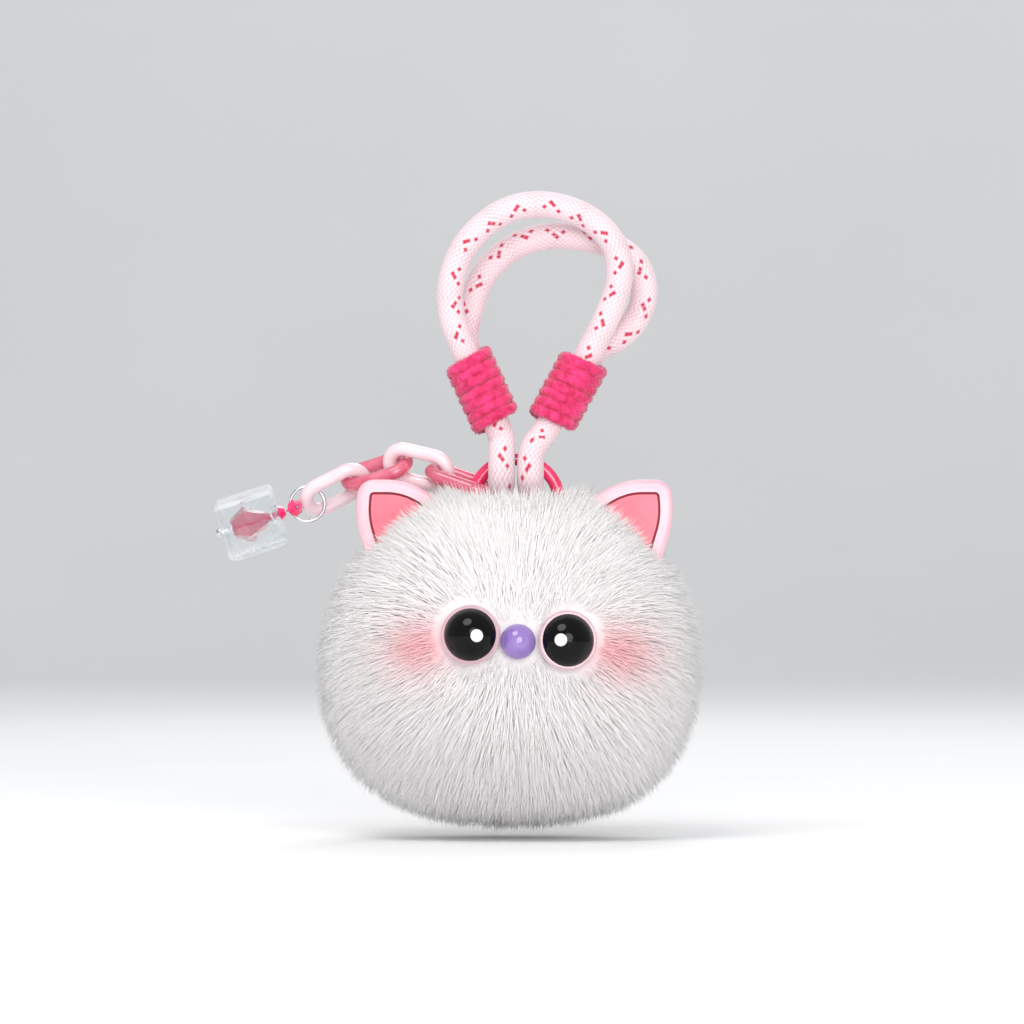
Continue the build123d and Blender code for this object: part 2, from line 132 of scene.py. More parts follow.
def metal(name, low, high):
    """Bright wire: two close tones and wandering gloss."""
    material, tree, shader = new_material(name)
    two_tone(tree, shader, low, high, 300.0)
    vary_roughness(tree, shader, 500.0, 0.12, 0.25)
    shader.inputs["Metallic"].default_value = 1.0
    return material


def cloth(name, low, high, scale, sheen, grain, roughness=(0.75, 0.95)):
    """Dyed cloth: two close tones, a grain and a soft sheen."""
    material, tree, shader = new_material(name)
    two_tone(tree, shader, low, high, scale)
    vary_roughness(tree, shader, scale, *roughness)
    bump(tree, shader, scale * 3, grain, 0.0003)
    shader.inputs["Sheen Weight"].default_value = sheen
    shader.inputs["Sheen Roughness"].default_value = 0.4
    return material


def tinted(name, roughness, sheen):
    """A material that takes its colour from the mesh's own tint at each vertex."""
    material, tree, shader = new_material(name)
    colour = tree.nodes.new("ShaderNodeAttribute")
    colour.attribute_name = "tint"
    tree.links.new(colour.outputs["Color"], shader.inputs["Base Color"])
    vary_roughness(tree, shader, 400.0, *roughness)
    shader.inputs["Sheen Weight"].default_value = sheen
    shader.inputs["Sheen Roughness"].default_value = 0.5
    shader.inputs["Specular IOR Level"].default_value = 0.3
    return material


def make_materials():
    """Every material by a short name."""
    return {
        "fur": tinted("white_fur", (0.6, 0.8), 0.4),
        "underfur": tinted("underfur", (0.85, 0.95), 0.3),
        "rope": tinted("braided_rope", (0.5, 0.7), 0.3),
        "whip": cloth("velvet_whipping", srgb(196, 20, 74), srgb(248, 66, 134), 600.0, 0.4, 0.8),
        "enamel": plastic("pink_enamel", srgb(225, 25, 85), srgb(250, 60, 120), (0.08, 0.2), 200.0, 0.8),
        "ear": plastic("ear_vinyl", srgb(238, 176, 190), srgb(249, 196, 206), (0.25, 0.4), 150.0, 0.3),
        # dark crimson painted shade for the groove round each ear's panel
        "groove": plastic("ear_groove_painted_shade", srgb(150, 20, 46), srgb(176, 30, 60), (0.4, 0.6), 150.0, 0.0),
        "inset": plastic("ear_inset", srgb(238, 84, 108), srgb(250, 108, 128), (0.25, 0.4), 150.0, 0.25),
        "rim": plastic("clear_rim", srgb(232, 190, 200), srgb(246, 212, 220), (0.08, 0.15), 200.0, 0.5, 0.35),
        "pupil": plastic("black_pupil", srgb(4, 4, 5), srgb(9, 8, 10), (0.05, 0.1), 150.0, 0.0, grain=0.0,
                         specular=0.22),
        "spark": plastic("highlight_print", srgb(214, 214, 217), srgb(228, 228, 230), (0.2, 0.3), 300.0, 0.4),
        "nose": plastic("purple_nose", srgb(142, 110, 192), srgb(180, 150, 222), (0.05, 0.12), 220.0, 0.5, 0.25),
        "pink_link": plastic("pink_acrylic", srgb(244, 104, 138), srgb(252, 146, 170), (0.08, 0.16), 160.0, 0.5, 0.5),
        "milk_link": plastic("milky_acrylic", srgb(244, 214, 222), srgb(252, 232, 236), (0.12, 0.24), 160.0, 0.4,
                             0.1),
        "silver": metal("silver_wire", srgb(190, 190, 195), srgb(230, 230, 235)),
        "crystal": plastic("clear_crystal", srgb(238, 246, 250), srgb(252, 254, 255), (0.02, 0.08), 90.0, 0.3, 0.97,
                           ior=1.18, grain=0.9, relief=0.0008),
        "core": plastic("pink_core", srgb(240, 28, 96), srgb(255, 66, 132), (0.08, 0.2), 260.0, 0.6),
        "ribbon": cloth("satin_ribbon", srgb(215, 40, 90), srgb(240, 70, 120), 900.0, 0.4, 0.3, (0.4, 0.6)),
        "nylon": plastic("nylon_washer", srgb(215, 215, 212), srgb(230, 230, 226), (0.4, 0.55), 200.0, 0.0),
    }


MATERIALS = make_materials()

CAD_LOOKS = {
    "ring_body": "enamel", "ring_gate": "enamel", "gate_pin": "silver", "gate_spring": "silver",
    "hanging_tab": "ribbon", "nose": "nose", "nose_washer": "nylon", "jump_ring": "silver", "eye_pin": "silver",
    "spacer_bead": "core", "tail_bead": "core", "crystal_core": "core", "crystal_shell": "crystal",
    "stuffing": "underfur",
    "chain_link_1": "pink_link", "chain_link_3": "pink_link",
    "chain_link_2": "milk_link", "chain_link_4": "milk_link",
}
for side in ("left", "right"):
    CAD_LOOKS.update({
        f"eye_rim_{side}": "rim", f"eye_dome_{side}": "pupil", f"eye_highlight_{side}": "spark",
        f"eye_washer_{side}": "nylon", f"ear_{side}": "ear", f"ear_panel_{side}": "inset",
        f"ear_washer_{side}": "nylon",
    })


EAR_GROOVE_SHADE_REACH = 1.15 * MM        # from the panel to the far wall of the groove round it, as far as the painted shade reaches


def dress_cad():
    """Give each CAD node that shows its material."""
    for node, look in CAD_LOOKS.items():
        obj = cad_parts[node]
        obj.data.materials.clear()
        obj.data.materials.append(MATERIALS[look])


def paint_groove_shade(side):
    """Give the faces of an ear that lie beside and under its panel a dark crimson: painted shade in the groove."""
    ear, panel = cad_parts[f"ear_{side}"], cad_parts[f"ear_panel_{side}"]
    ear.data.materials.append(MATERIALS["groove"])
    to_panel = panel.matrix_world.inverted() @ ear.matrix_world
    front = min((panel.matrix_world @ v.co).y for v in panel.data.vertices)
    for face in ear.data.polygons:
        place = to_panel @ face.center
        found, nearest_point, _, _ = panel.closest_point_on_mesh(place)
        close = found and (nearest_point - place).length < EAR_GROOVE_SHADE_REACH
        face.material_index = int(close and (ear.matrix_world @ face.center).y > front + 0.25 * MM)


# ---------------------------------------------------------------- mesh helpers
def mesh_object(name, vertices, faces, look, body, tints=None, normals=None):
    """A smooth mesh piece from plain arrays, with an optional colour and normal for each vertex, on its body."""
    mesh = bpy.data.meshes.new(name)
    faces_flat = np.concatenate([np.asarray(f, np.int32).ravel() for f in faces])
    sizes = np.concatenate([np.full(len(f), np.asarray(f).shape[1], np.int32) for f in faces])
    starts = np.concatenate([[0], np.cumsum(sizes)[:-1]]).astype(np.int32)
    mesh.vertices.add(len(vertices))
    mesh.vertices.foreach_set("co", np.asarray(vertices, np.float32).ravel())
    mesh.loops.add(len(faces_flat))
    mesh.loops.foreach_set("vertex_index", faces_flat)
    mesh.polygons.add(len(sizes))
    mesh.polygons.foreach_set("loop_start", starts)
    mesh.polygons.foreach_set("loop_total", sizes)
    mesh.update(calc_edges=True)
    mesh.polygons.foreach_set("use_smooth", np.full(len(sizes), True))
    if normals is not None:
        mesh.normals_split_custom_set_from_vertices(normals.tolist())
    if tints is not None:
        attribute = mesh.color_attributes.new("tint", "FLOAT_COLOR", "POINT")
        rgba = np.ones((len(vertices), 4), np.float32)
        rgba[:, :3] = tints
        attribute.data.foreach_set("color", rgba.ravel())
    mesh.materials.append(MATERIALS[look])
    obj = bpy.data.objects.new(name, mesh)
    bpy.context.scene.collection.objects.link(obj)
    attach(obj, body)
    return obj


def unit(v):
    """Vectors scaled to length one."""
    return v / np.maximum(np.linalg.norm(v, axis=-1, keepdims=True), 1e-12)


def tube_rings(path):
    """Two steady cross directions along a path, without twist."""
    tangent = unit(np.gradient(path, axis=0))
    side = np.zeros_like(path)
    first = np.cross(tangent[0], (0.0, 1.0, 0.0))
    if np.linalg.norm(first) < 0.1:
        first = np.cross(tangent[0], (1.0, 0.0, 0.0))
    side[0] = unit(first)
    for i in range(1, len(path)):
        moved = side[i - 1] - tangent[i] * np.dot(side[i - 1], tangent[i])
        side[i] = unit(moved)
    return side, np.cross(tangent, side)


def grid_faces(rows, columns):
    """Quads of a tube of rows rings with columns points each."""
    i = np.arange(rows - 1)[:, None] * columns
    j = np.arange(columns)[None, :]
    k = (j + 1) % columns
    return np.stack([i + j, i + k, i + columns + k, i + columns + j], -1).reshape(-1, 4)


# ---------------------------------------------------------------- camera, light, floor
VIEW_WIDTH = 0.2058
CAMERA_DISTANCE = 1.15
LOOK_AT = (-0.2, 0.0, 28.1)
FLOOR_DROP = 37.5 * MM                       # the floor lies this far below the middle of the head
LIGHT_AIM = (0, 0, 25)
LIGHTS = (                                   # place from the aim in metres, power in watts, size in metres
    ("key", (-0.25, -0.45, 0.75), 3.2, 0.5),
    ("fill", (0.15, -0.9, 0.2), 4.6, 0.6),
    ("back", (0.1, 0.5, 0.6), 1.6, 0.5),
)


def make_camera():
    """A long lens level with the object, so that the face is square to the view."""
    data = bpy.data.cameras.new("camera")
    camera = bpy.data.objects.new("camera", data)
    bpy.context.scene.collection.objects.link(camera)
    target = at_head(*LOOK_AT)
    camera.location = target + Vector((0.0, -CAMERA_DISTANCE, 0.0))
    camera.rotation_mode = "QUATERNION"
    camera.rotation_quaternion = Vector((0.0, 1.0, 0.0)).to_track_quat("-Z", "Y")
    data.sensor_width = 36.0
    data.lens = 36.0 * CAMERA_DISTANCE / VIEW_WIDTH
    data.clip_start, data.clip_end = 0.01, 50.0
    bpy.context.scene.camera = camera


def area_light(name, place, power, size, aim):
    """A round soft light that faces its aim."""
    data = bpy.data.lights.new(name, "AREA")
    data.shape = "DISK"
    data.energy = power
    data.size = size
    light = bpy.data.objects.new(name, data)
    bpy.context.scene.collection.objects.link(light)
    light.location = place
    light.rotation_mode = "QUATERNION"
    light.rotation_quaternion = (Vector(aim) - Vector(place)).to_track_quat("-Z", "Y")


def make_stage():
    """A pale floor just under the fur that sweeps up into a backdrop, three soft lights and pale surroundings."""
    floor_z = HEAD.z - FLOOR_DROP
    reach, back, rise = 3.0, 1.6, 2.2
    profile = [(-reach, floor_z)] + [
        (back - 0.5 + 0.5 * math.sin(a), floor_z + 0.5 - 0.5 * math.cos(a))
        for a in np.linspace(0, math.pi / 2, 12)
    ] + [(back, floor_z + rise)]
    vertices = [(x, y, z) for y, z in profile for x in (-reach, reach)]
    faces = [(2 * i, 2 * i + 1, 2 * i + 3, 2 * i + 2) for i in range(len(profile) - 1)]
    mesh = bpy.data.meshes.new("floor")
    mesh.from_pydata(vertices, [], faces)
    mesh.polygons.foreach_set("use_smooth", [True] * len(faces))
    material, tree, shader = new_material("pale_floor")
    two_tone(tree, shader, srgb(246, 246, 247), srgb(252, 252, 252), 3.0)
    shader.inputs["Roughness"].default_value = 0.9
    mesh.materials.append(material)
    floor = bpy.data.objects.new("floor", mesh)
    bpy.context.scene.collection.objects.link(floor)

    middle = at_head(*LIGHT_AIM)
    for name, offset, power, size in LIGHTS:
        area_light(name, middle + Vector(offset), power, size, middle)
    world = bpy.data.worlds.new("studio")
    bpy.context.scene.world = world
    world.use_nodes = True
    background = world.node_tree.nodes["Background"]
    background.inputs["Color"].default_value = (0.97, 0.985, 1.0, 1.0)
    background.inputs["Strength"].default_value = 0.55
    bpy.context.scene.view_settings.view_transform = "Standard"


# ---------------------------------------------------------------- rope
ROPE_DIAMETER = 0.0054
ROPE_ROUTE = [
    (-0.00558, 0.00278, 0.05108), (-0.00215, 0.00278, 0.04356),
    (-0.0023, 0.0046, 0.0409), (-0.0023, 0.0046, 0.0330), (-0.0023, -0.0046, 0.0330), (-0.0023, -0.0046, 0.0409),
    (-0.00215, -0.00278, 0.04356), (-0.01035, -0.00278, 0.06154),
    (-0.0125, -0.0030, 0.0674), (-0.0127, -0.0030, 0.0737), (-0.0108, -0.0031, 0.0799),
    (-0.0069, -0.0032, 0.0850), (-0.0012, -0.0032, 0.0889), (0.0054, -0.0032, 0.0901),
    (0.0123, -0.0032, 0.0886), (0.0179, -0.0032, 0.0852), (0.0212, -0.0032, 0.0802),
    (0.0216, -0.0031, 0.0742), (0.0194, -0.0030, 0.0682),
    (0.01577, -0.00278, 0.06088), (0.00633, -0.00278, 0.04372),
    (0.0035, -0.0046, 0.0409), (0.0035, -0.0046, 0.0330), (0.0035, 0.0046, 0.0330), (0.0035, 0.0046, 0.0409),
    (0.00633, 0.00278, 0.04372), (0.01577, 0.00278, 0.06088),
    (0.0213, 0.0030, 0.0629), (0.0256, 0.0031, 0.0676), (0.0269, 0.0032, 0.0736), (0.0246, 0.0032, 0.0790),
    (0.0196, 0.0032, 0.0822), (0.0138, 0.0032, 0.0835), (0.0076, 0.0032, 0.0840), (0.0014, 0.0032, 0.0824),
    (-0.0036, 0.0032, 0.0790), (-0.0070, 0.0031, 0.0742), (-0.0087, 0.0030, 0.0686),
    (-0.01035, 0.00278, 0.06154), (-0.0057, 0.00278, 0.05135),
]
BRAID_CARRIERS = 16
BRAID_TURN = 19.5 * MM
BRAID_DEPTH = 0.14 * MM
FLECKS = ((0, 8), (5, 2), (10, 12))          # crossings where two dyed stretches of strand meet
FLECK_CELLS = 4
ROPE_AROUND = 80
ROPE_STEP = 0.25 * MM


def route_points():
    """The rope's centreline, read from its NURBS route at even steps."""
    curve = bpy.data.curves.new("rope_route", "CURVE")
    curve.dimensions = "3D"
    spline = curve.splines.new("NURBS")
    spline.points.add(len(ROPE_ROUTE) - 1)
    for point, place in zip(spline.points, ROPE_ROUTE):
        point.co = (*(HEAD + Vector(place)), 1.0)
    spline.order_u = 3
    spline.use_endpoint_u = True
    spline.resolution_u = 24
    route = bpy.data.objects.new("rope_route", curve)
    bpy.context.scene.collection.objects.link(route)
    bpy.context.view_layer.update()
    mesh = bpy.data.meshes.new_from_object(route)
    points = np.array([v.co for v in mesh.vertices], float)
    bpy.data.objects.remove(route)
    bpy.data.curves.remove(curve)
    steps = np.linalg.norm(np.diff(points, axis=0), axis=1)
    keep = np.concatenate([[True], steps > 1e-7])
    points = points[keep]
    along = np.concatenate([[0], np.cumsum(np.linalg.norm(np.diff(points, axis=0), axis=1))])
    even = np.linspace(0, along[-1], int(along[-1] / ROPE_STEP))
    return np.stack([np.interp(even, along, points[:, i]) for i in range(3)], 1), even


def braid(around, along):
    """Height and colour of a round braid: strands that run both ways and pass over and under each other."""
    right = BRAID_CARRIERS * (around + along / BRAID_TURN)
    left = BRAID_CARRIERS * (around - along / BRAID_TURN)
    over = (np.floor(right) + np.floor(left)) % 2 == 0
    across = np.where(over, right % 1, left % 1)
    lengthwise = np.where(over, left % 1, right % 1)
    height = np.sin(math.pi * across) ** 0.6 * (0.45 + 0.55 * np.sin(math.pi * lengthwise))
    flecked = np.zeros(over.shape, bool)
    for first, second in FLECKS:
        past_first = (np.floor(right) - first) % BRAID_CARRIERS
        past_second = (np.floor(left) - second) % BRAID_CARRIERS
        flecked |= over & (past_first == 0) & (past_second < FLECK_CELLS)
        flecked |= ~over & (past_second == 0) & (past_first < FLECK_CELLS)
    return height, flecked


def make_rope():
    """The folded rope as one tube with its braid in relief, painted shade in the braid's hollows, and its dyed
    flecks.
    """
    path, along = route_points()
    side, other = tube_rings(path)
    turn = np.linspace(0, 1, ROPE_AROUND, endpoint=False)
    around, s = np.meshgrid(turn, along)
    height, flecked = braid(around, s)
    radius = ROPE_DIAMETER / 2 - BRAID_DEPTH * (1 - height)
    angle = 2 * math.pi * around
    rings = path[:, None] + radius[..., None] * (
        np.cos(angle)[..., None] * side[:, None] + np.sin(angle)[..., None] * other[:, None])
    pale = np.array(srgb(236, 216, 220)[:3])
    # the braid's hollows take a darker rose colour than its raised strands: painted shade on top of the relief
    painted_valley_shade = np.array(srgb(204, 156, 170)[:3])
    fleck = np.array(srgb(196, 36, 72)[:3])
    tints = painted_valley_shade + (pale - painted_valley_shade) * np.clip(height * 1.6, 0, 1)[..., None]
    dyed = np.clip(height * 3 - 0.5, 0, 1)[..., None] * flecked[..., None]
    tints = tints * (1 - dyed) + fleck * dyed
    vertices = rings.reshape(-1, 3)
    faces = [grid_faces(len(path), ROPE_AROUND)]
    ends = [np.arange(ROPE_AROUND)[None, ::-1], (np.arange(ROPE_AROUND) + (len(path) - 1) * ROPE_AROUND)[None]]
    rope = mesh_object("rope_braided", vertices, faces + ends, "rope", "loop", tints.reshape(-1, 3))
    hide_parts("rope")


# ---------------------------------------------------------------- whippings
WRAPS = {
    "wrap_left": ((-2.9, 45.2), (-9.6, 59.9)),
    "wrap_right": ((7.2, 45.3), (14.9, 59.3)),
}
WRAP_TURNS = 7
WRAP_CORD_R = 1.16 * MM
STRAND_Y = 2.78 * MM
WRAP_WIND_R = 3.82 * MM
WRAP_AROUND = 16                             # points round the cord
WRAP_UNEVEN = 0.17 * MM
FUZZ_PER_WRAP = 7000


def obround(turns):
    """Place across and deep on the oval round the two strands."""
    straight = 2 * STRAND_Y
    arc = math.pi * WRAP_WIND_R
    total = 2 * (straight + arc)
    s = (turns % 1.0) * total
    across, deep = np.zeros_like(s), np.zeros_like(s)
    out_across, out_deep = np.zeros_like(s), np.zeros_like(s)
    for i, value in enumerate(s):
        if value < straight:
            across[i], deep[i], out_across[i], out_deep[i] = WRAP_WIND_R, -STRAND_Y + value, 1.0, 0.0
        elif value < straight + arc:
            a = (value - straight) / WRAP_WIND_R
            out_across[i], out_deep[i] = math.cos(a), math.sin(a)
            across[i], deep[i] = WRAP_WIND_R * out_across[i], STRAND_Y + WRAP_WIND_R * out_deep[i]
        elif value < 2 * straight + arc:
            across[i], deep[i] = -WRAP_WIND_R, STRAND_Y - (value - straight - arc)
            out_across[i], out_deep[i] = -1.0, 0.0
        else:
            a = math.pi + (value - 2 * straight - arc) / WRAP_WIND_R
            out_across[i], out_deep[i] = math.cos(a), math.sin(a)
            across[i], deep[i] = WRAP_WIND_R * out_across[i], -STRAND_Y + WRAP_WIND_R * out_deep[i]
    return across, deep


def make_wrap(node, ends):
    """Turns of velvet cord wound round the two strands, with short fuzz standing off them."""
    bottom, top = (np.array(at_head(x, 0.0, z)) for x, z in ends)
    axis = unit(top - bottom)
    sideways = np.array([axis[2], 0.0, -axis[0]])
    length = np.linalg.norm(top - bottom)
    wound = WRAP_TURNS - 1 + 0.98
    turns = np.linspace(0.0, wound, 72 * WRAP_TURNS)
    pitch = (length - 2 * WRAP_CORD_R) / wound
    across, deep = obround(turns + 0.3)
    uneven = WRAP_UNEVEN * np.sin(2 * math.pi * turns * 1.37) * np.sin(math.pi * turns / turns[-1])
    path = (bottom + axis * WRAP_CORD_R + axis * (turns * pitch + uneven)[:, None]
            + sideways * across[:, None] + np.array([0.0, 1.0, 0.0]) * deep[:, None])
    side, other = tube_rings(path)
    angle = np.linspace(0, 2 * math.pi, WRAP_AROUND, endpoint=False)
    lumps = 1 + 0.06 * np.sin(turns[:, None] * 61 + 2 * angle) + RNG.normal(0, 0.025, (len(path), WRAP_AROUND))
    out = np.cos(angle)[None, :, None] * side[:, None] + np.sin(angle)[None, :, None] * other[:, None]
    rings = path[:, None] + WRAP_CORD_R * lumps[..., None] * out
    rim = np.arange(WRAP_AROUND)
    faces = [grid_faces(len(path), WRAP_AROUND), rim[None, ::-1], (rim + (len(path) - 1) * WRAP_AROUND)[None]]
    wrap = mesh_object(f"{node}_cord", rings.reshape(-1, 3), faces, "whip", "loop")
    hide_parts(node)

    centre = (bottom + top) / 2
    picks = RNG.integers(0, len(path), FUZZ_PER_WRAP)
    spins = RNG.integers(0, WRAP_AROUND, FUZZ_PER_WRAP)
    roots = path[picks] + out[picks, spins] * WRAP_CORD_R * 0.9
    outward = unit(out[picks, spins] + RNG.normal(0, 0.45, (FUZZ_PER_WRAP, 3)))
    reach = RNG.uniform(0.25, 0.62, FUZZ_PER_WRAP) * MM
    tips = roots + outward * reach[:, None]
    inside = np.abs((roots - centre) @ axis) < length / 2 - 0.2 * MM
    vertices, faces = spikes(np.stack([roots, (roots + tips) / 2, tips], 1)[inside], 0.055 * MM)
    mesh_object(f"{node}_fuzz", vertices, faces, "whip", "loop")


# ---------------------------------------------------------------- fur
def spikes(lines, radius):
    """Closed three-sided tapering hairs along lines of points, one hair for each line."""
    count, rows = lines.shape[:2]
    tangent = unit(lines[:, -1] - lines[:, 0])
    cross = unit(np.cross(tangent, RNG.normal(0, 1, (count, 3))))
    other = np.cross(tangent, cross)
    thickness = np.broadcast_to(radius, (count,))
    rings = []
    for row in range(rows - 1):
        size = thickness * (1 - 0.55 * row / (rows - 1))
        for corner in range(3):
            angle = 2 * math.pi * corner / 3
            rings.append(lines[:, row] + size[:, None] * (math.cos(angle) * cross + math.sin(angle) * other))
    rings.append(lines[:, -1])
    vertices = np.stack(rings, 1).reshape(-1, 3)
    per_hair = 3 * (rows - 1) + 1
    quads, triangles = [], [(2, 1, 0)]
    for row in range(rows - 2):
        for corner in range(3):
            a, b = 3 * row + corner, 3 * row + (corner + 1) % 3
            quads.append((a, b, b + 3, a + 3))
    for corner in range(3):
        a, b = 3 * (rows - 2) + corner, 3 * (rows - 2) + (corner + 1) % 3
        triangles.append((a, b, per_hair - 1))
    shift = (np.arange(count) * per_hair)[:, None, None]
    faces = [(np.array(triangles)[None] + shift).reshape(-1, 3)]
    if quads:
        faces.append((np.array(quads)[None] + shift).reshape(-1, 4))
    return vertices, faces


HAIRS = 96000
HAIR_PIECES = 9
HAIR_ROWS = 4
CLUMPS = 5200
HAIR_R = 0.125
HAIR_RELIEF = 0.45                           # share of a hair's own roundness in its shading
SKIN = np.array((32.0, 20.3, 27.6))          # half sizes of the surface that the pile grows from
TIPS = np.array((39.6, 27.4, 34.9))          # half sizes of the shape that the tips reach
FACE = np.array((1.0, 2.6))                  # the middle of the face, from which the pile is brushed outward
EYES = (((-8.4, 3.9), 5.9), ((10.8, 2.8), 5.9), ((1.0, 2.6), 3.5))          # eyes and nose: middle, radius
CROWN_X = 0.6
DIMPLE = (np.array((CROWN_X, 0.0, 38.0)), 17.5)                             # hollow at the crown: middle, radius
BLUSH = ((-18.9, 1.2, 6.2, 5.8), (21.7, 0.2, 6.2, 5.8))                     # middle, half width, half height
SWING_ROOM = (37.9, 8.9, 7.5)                # round the ring's swing: height of its axis, radius, half width
RING_ROOM = (30.0, 11.0, 2.4)                # round the ring itself: height of its middle, radius, half depth
EAR_ROOM = ((14.0, 31.0), (-5.4, 1.4), (17.0, 34.6))                        # round an ear: across, deep, up


def sphere_points(count):
    """Even points on a unit sphere, a little shaken."""
    i = np.arange(count) + 0.5
    z = 1 - 2 * i / count
    turn = math.pi * (1 + 5 ** 0.5) * i
    ring = np.sqrt(1 - z * z)
    points = np.stack([ring * np.cos(turn), ring * np.sin(turn), z], 1)
    return unit(points + RNG.normal(0, 0.9 / math.sqrt(count), points.shape))


def fuller_below(points):
    """The head is a little squarer than an oval, most of all below its middle, where it is also wider."""
    warped = points.copy()
    x, z = points[..., 0], points[..., 2]
    corner = np.sin(2 * np.arctan2(z, x)) ** 2 * np.clip(np.hypot(x, z) / 34, 0, 1) ** 2
    swell = 1 + corner * np.where(z < 0, 0.06, 0.025)
    warped[..., 0] *= swell * (1 - 0.03 * np.clip(z / 30, -1, 1))
    warped[..., 0] -= 0.7 * np.clip(np.abs(x) / 34, 0, 1) ** 2
    warped[..., 2] *= swell * (1 + 0.08 * np.clip(z / 30, 0, 1) ** 2)
    return warped


def press_dimple(points, extra=0.0):
    """Push points out of the hollow at the crown, onto its wall."""
    centre, radius = DIMPLE
    away = points - centre
    distance = np.linalg.norm(away, axis=1, keepdims=True)
    size = radius + extra
    return np.where(distance < size, centre + unit(away) * size, points)


def hair_direction(roots, normals):
    """The way the pile is brushed: out from the middle of the face, up at the crown, down at the back."""
    flat = np.stack([roots[:, 0] - FACE[0], np.zeros(len(roots)), roots[:, 2] - FACE[1]], 1)
    spread = unit(flat)
    front = np.clip(-roots[:, 1] / 20 + 0.1, 0, 1)[:, None]
    down = np.array([0.0, 0.0, -1.0])
    comb = spread * front + (down * 0.8 + spread * 0.5) * (1 - front)
    for (cx, cz), radius in EYES:
        away = np.stack([roots[:, 0] - cx, np.zeros(len(roots)), roots[:, 2] - cz], 1)
        distance = np.linalg.norm(away, axis=1)
        push = np.exp(-np.clip(distance - radius, 0, None) / 2.2) * (roots[:, 1] < -5)
        comb = comb + unit(away) * (1.6 * push)[:, None]
    comb = unit(comb - normals * (comb * normals).sum(1, keepdims=True))
    edge = 1 - np.abs(normals[:, 1])
    lift = 0.34 + 0.36 * edge
    crown = np.clip((roots[:, 2] - 16) / 10, 0, 1)
    lift = lift + 0.15 * crown
    return unit(normals * lift[:, None] + comb * (1 - lift)[:, None])


def reach_to_tips(roots, direction, scale):
    """How far along its direction each hair meets the shape of the tips, times a scale."""
    axes = TIPS * scale[:, None]
    p, d = roots / axes, direction / axes
    a = (d * d).sum(1)
    b = (p * d).sum(1)
    c = (p * p).sum(1) - 1
    return (-b + np.sqrt(np.maximum(b * b - a * c, 0))) / a


def grow_hair():
    """Each hair as a line of points in the head's frame, and its root's place on the unit sphere."""
    unit_points = sphere_points(HAIRS)
    roots = unit_points * SKIN
    normals = unit(unit_points / SKIN)
    roots = press_dimple(roots)
    hollow = np.linalg.norm(roots - DIMPLE[0], axis=1) < DIMPLE[1] + 0.2
    outward = roots * np.array((1.0, 1.0, 0.0)) - np.array((CROWN_X, 0.0, 0.0))
    normals = np.where(hollow[:, None], unit(np.array([0.0, 0.0, 1.0]) + 0.5 * unit(outward)), normals)
    direction = hair_direction(roots, normals)
    direction = np.where(hollow[:, None], unit(normals + 0.35 * unit(outward)), direction)
    direction = unit(direction + RNG.normal(0, 0.13, direction.shape))
    scale = 1 - np.abs(RNG.normal(0, 0.042, HAIRS))
    length = np.clip(reach_to_tips(roots, direction, scale), 3.5, 15.0)
    for (cx, cz), radius in EYES:
        distance = np.hypot(roots[:, 0] - cx, roots[:, 2] - cz) - radius
        near = (roots[:, 1] < -5) & (distance < 5)
        length = np.where(near, length * (0.5 + 0.1 * np.clip(distance, 0, 5)), length)
    length = np.where(hollow, np.minimum(length, 11.0), length)

    tips = roots + direction * length[:, None]
    centres = RNG.choice(HAIRS, CLUMPS, replace=False)
    owner = nearest(roots, roots[centres])
    pull = RNG.uniform(0.15, 0.62, HAIRS)
    own_tip = tips[centres][owner]
    own_root = roots[centres][owner]
    drift = own_tip - own_root - (tips - roots)
    gather = (own_tip - tips) * 0.55 + drift * 0.2
    droop = np.array([0.0, 0.0, -1.0]) * (0.10 * length * np.clip(1 - roots[:, 2] / 30, 0.1, 1.6))[:, None]
    wave = RNG.normal(0, 0.35, (HAIRS, 3))
    share = np.linspace(0, 1, HAIR_ROWS)[None, :, None]
    lines = (roots[:, None] + direction[:, None] * (length[:, None, None] * share)
             + (gather * pull[:, None])[:, None] * share ** 2
             + droop[:, None] * share ** 2
             + wave[:, None] * np.sin(math.pi * share * 1.5))
    lines = fuller_below(lines)
    keep = clear_of_parts(lines)
    return lines[keep], unit_points[keep]


def nearest(points, centres):
    """The nearest centre to each point, by a tree."""
    tree = KDTree(len(centres))
    for i, c in enumerate(centres):
        tree.insert(c, i)
    tree.balance()
    return np.array([tree.find(p)[1] for p in points])


def clear_of_parts(lines):
    """Which hairs stay off the eyes, the ears, and the rope and ring at the crown."""
    keep = np.ones(len(lines), bool)
    for (cx, cz), radius in EYES:
        distance = np.hypot(lines[..., 0] - cx, lines[..., 2] - cz)
        over = (distance < radius - 0.55) & (lines[..., 1] < -10)
        keep &= ~over[:, 1:].any(1)
        keep &= ~((distance[:, 0] < radius - 0.2) & (lines[:, 0, 1] < -5))
    x, y, z = lines[..., 0] - CROWN_X, lines[..., 1], lines[..., 2]
    height, radius, half_width = SWING_ROOM
    keep &= ~((np.hypot(y, z - height) < radius) & (np.abs(x) < half_width)).any(1)
    height, radius, half_depth = RING_ROOM
    keep &= ~((np.hypot(x, z - height) < radius) & (np.abs(y) < half_depth)).any(1)
    (inner, outer), (front, back), (low, high) = EAR_ROOM
    for sign, shift in ((-1, 0.0), (1, 0.6)):
        ear_x = sign * (lines[..., 0] - shift)
        in_ear = (ear_x > inner) & (ear_x < outer) & (y > front) & (y < back) & (z > low) & (z < high)
        keep &= ~in_ear.any(1)
    return keep


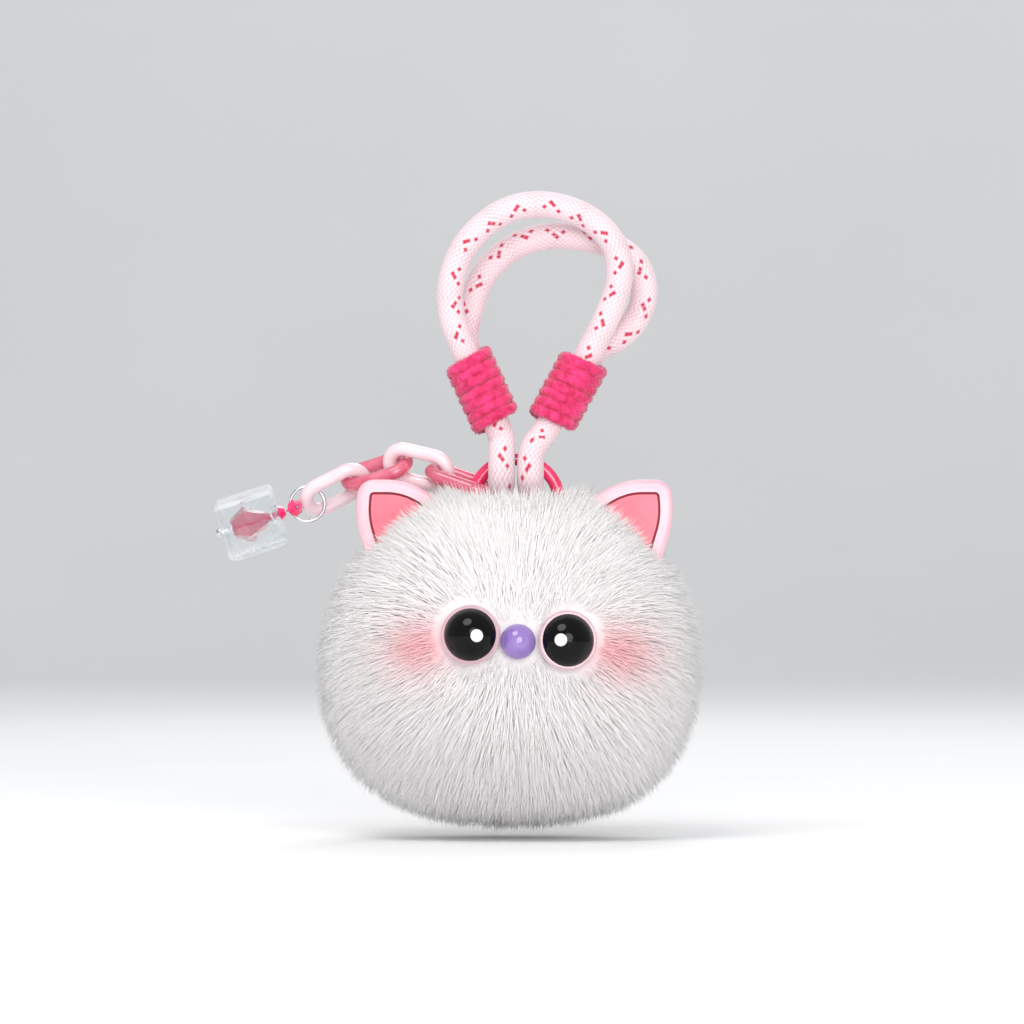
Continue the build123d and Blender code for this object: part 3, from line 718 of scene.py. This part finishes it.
def fur_tint(points, share):
    """White pile with painted shade that darkens it towards its roots, and a soft pink blush on each cheek."""
    white = np.array(srgb(252, 249, 248)[:3])
    # the root colour is painted shade deep in the pile
    root = np.array(srgb(240, 234, 235)[:3])
    pink = np.array(srgb(250, 132, 142)[:3])
    colour = root + (white - root) * share[..., None] ** 0.7
    amount = np.zeros(points.shape[:-1])
    for cx, cz, wide, high in BLUSH:
        across, up = (points[..., 0] - cx) / wide, (points[..., 2] - cz) / high
        amount = np.maximum(amount, np.exp(-across ** 2 - up ** 2))
    amount = amount * np.clip(-points[..., 1] / 10, 0, 1) * 0.62
    return colour * (1 - amount[..., None]) + pink * amount[..., None]


def to_part(points):
    """Points of the head's frame in millimetres, in the part's frame."""
    return points * MM + np.array(HEAD)


def make_fur():
    """The long pile, split into pieces by the way it faces."""
    lines, unit_points = grow_hair()
    order = np.argsort(np.floor((np.arctan2(unit_points[:, 1], unit_points[:, 0]) / (2 * math.pi) + 0.5)
                                * HAIR_PIECES), kind="stable")
    lines, skin_normals = lines[order], unit(unit_points[order] / SKIN)
    share = np.linspace(0, 1, HAIR_ROWS)
    brightness = RNG.normal(1.0, 0.035, len(lines))
    for number, part in enumerate(np.array_split(np.arange(len(lines)), HAIR_PIECES), 1):
        radius = RNG.uniform(0.7, 1.25, len(part)) * HAIR_R
        vertices, faces = spikes(lines[part], radius)
        middle = lines[part][:, 2][:, None].repeat(HAIR_ROWS, 1)
        tints = fur_tint(middle, np.broadcast_to(share, (len(part), HAIR_ROWS)))
        tints = np.clip(tints * brightness[part][:, None, None], 0, 0.99)
        corner_tints = np.concatenate([tints[:, :-1].repeat(3, 1), tints[:, -1:]], 1).reshape(-1, 3)
        middles = np.concatenate([lines[part][:, :-1].repeat(3, 1), lines[part][:, -1:]], 1).reshape(-1, 3)
        # a real pile passes light on from hair to hair, so it is lit more like the skin than like bare rods
        shading = unit(skin_normals[part].repeat(3 * HAIR_ROWS - 2, 0) + HAIR_RELIEF * unit(vertices - middles))
        mesh_object(f"fur_{number}", to_part(vertices), faces, "fur", "plush", corner_tints, shading)


def make_underfur():
    """The fabric that the pile grows from: a lumpy closed skin with a hollow at the crown, coloured darker than the
    pile as painted shade.
    """
    rows, columns = 90, 140
    height = np.linspace(0, math.pi, rows)
    turn = np.linspace(0, 2 * math.pi, columns, endpoint=False)
    h, t = np.meshgrid(height, turn, indexing="ij")
    points = np.stack([np.sin(h) * np.cos(t), np.sin(h) * np.sin(t), np.cos(h)], -1).reshape(-1, 3)
    swell = 1.0 + RNG.normal(0, 0.004, len(points))
    placed = fuller_below(points * (SKIN + 0.9) * swell[:, None])
    placed = press_dimple(placed, -0.6)
    # the backing takes the pile's root colour, darkened further: painted shade under the pile
    tints = fur_tint(placed, np.full(len(placed), 0.15)) * 0.93
    skin = mesh_object("fur_backing", to_part(placed), [grid_faces(rows, columns)], "underfur", "plush",
                       tints)
    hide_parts("cover_front", "cover_back", "stuffing")


dress_cad()
for ear_side in ("left", "right"):
    paint_groove_shade(ear_side)
make_camera()
make_stage()
make_rope()
for wrap_node, wrap_ends in WRAPS.items():
    make_wrap(wrap_node, wrap_ends)
make_underfur()
make_fur()
